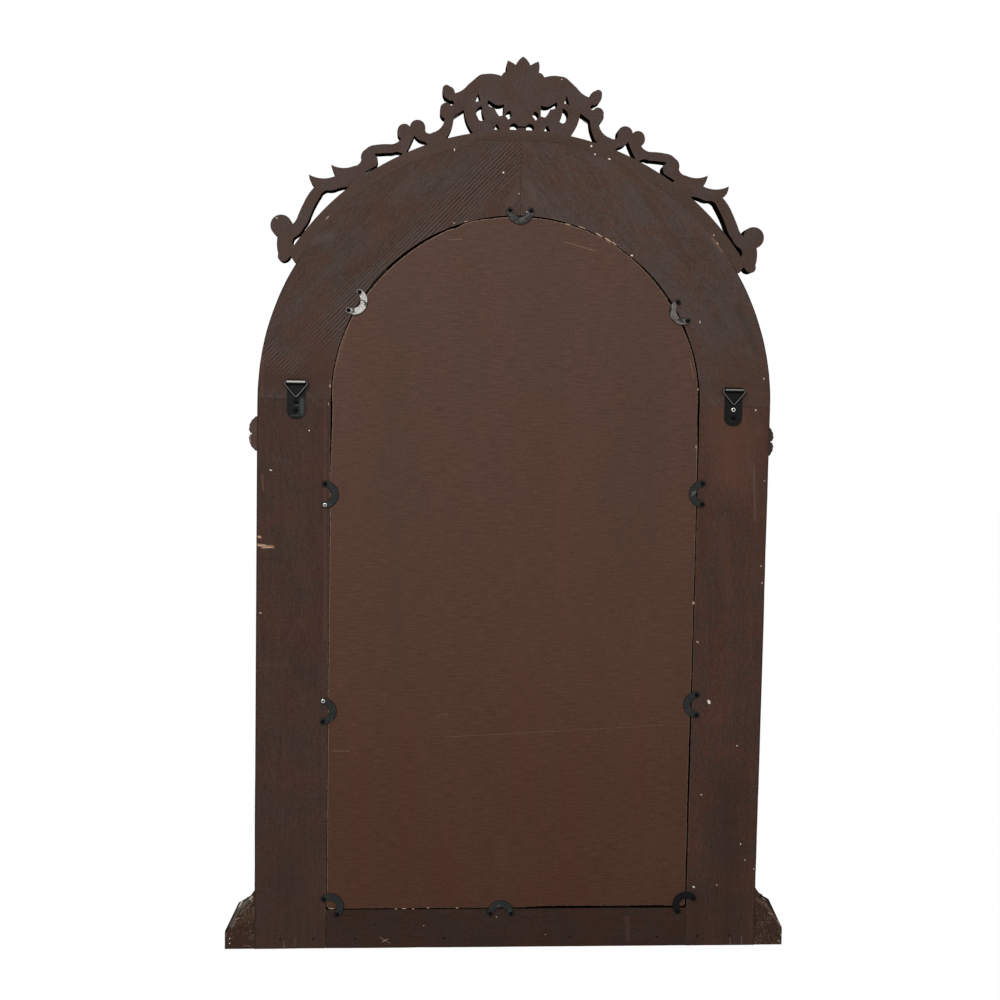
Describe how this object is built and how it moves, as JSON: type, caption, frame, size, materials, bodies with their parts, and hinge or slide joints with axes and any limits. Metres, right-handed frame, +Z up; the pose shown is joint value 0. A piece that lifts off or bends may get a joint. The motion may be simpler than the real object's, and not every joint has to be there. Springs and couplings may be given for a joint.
{
  "type": "wall mirror",
  "caption": "Arched wall mirror in a carved dark-stained wooden frame with a pierced crest, rosettes, flared feet and a swinging hanging ring on each side of the back.",
  "frame": {"origin": "midway between the pivots of the two hanger rings, on the back face of the frame", "axes": "+Z up, +Y from the back face towards the wall, +X to the right as seen from the front; the glass faces -Y"},
  "size_m": [0.581, 0.041, 0.9091],
  "materials": {
    "stained_frame": "dark walnut-brown stain, sawn back",
    "stained_carving": "dark walnut-brown stain, carved",
    "hardboard": "brown hardboard, matt",
    "mirror_glass": "silvered plate glass",
    "plain_softwood": "plain",
    "plain_beech": "plain",
    "black_steel": "black, worn",
    "bright_steel": "zinc plated"
  },
  "bodies": {
    "frame": {"apex_dowels": "plain_beech", "backing_board": "hardboard", "base_moulding": "stained_carving", "base_nails": "bright_steel", "bottom_clip": "black_steel", "bottom_rail": "stained_frame", "bright_clip_screws": "bright_steel", "bright_hanger_screw": "bright_steel", "clip_screws": "black_steel", "crest_centre": "stained_carving", "crest_dowels": "plain_beech", "foot_dowels": "plain_beech", "glass_blocks": "plain_softwood", "hanger_screws": "black_steel", "left_arch": "stained_frame", "left_arch_moulding": "stained_carving", "left_corner_clip": "black_steel", "left_crest_wing": "stained_carving", "left_foot": "stained_carving", "left_rosette": "stained_carving", "left_stile": "stained_frame", "left_stile_moulding": "stained_carving", "left_strap": "black_steel", "lower_left_clip": "black_steel", "lower_right_clip": "black_steel", "middle_left_clip": "black_steel", "middle_right_clip": "black_steel", "mirror_glass": "mirror_glass", "rail_dowels": "plain_beech", "rail_moulding": "stained_carving", "right_arch": "stained_frame", "right_arch_moulding": "stained_carving", "right_corner_clip": "black_steel", "right_crest_wing": "stained_carving", "right_foot": "stained_carving", "right_rosette": "stained_carving", "right_stile": "stained_frame", "right_stile_moulding": "stained_carving", "right_strap": "black_steel", "rosette_pins": "plain_beech", "spring_dowels": "plain_beech", "top_clip": "black_steel", "upper_left_clip": "black_steel", "upper_right_clip": "black_steel"},
    "left_ring_body": {"left_ring": "black_steel"},
    "right_ring_body": {"right_ring": "black_steel"}
  },
  "joints": [
    {"name": "left_ring_swing", "type": "hinge", "parent": "frame", "child": "left_ring_body", "pos_m": [-0.222, 0.0025, 0], "axis": [1, 0, 0], "range_deg": [0, 180]},
    {"name": "right_ring_swing", "type": "hinge", "parent": "frame", "child": "right_ring_body", "pos_m": [0.222, 0.0025, 0], "axis": [1, 0, 0], "range_deg": [0, 180]}
  ]
}
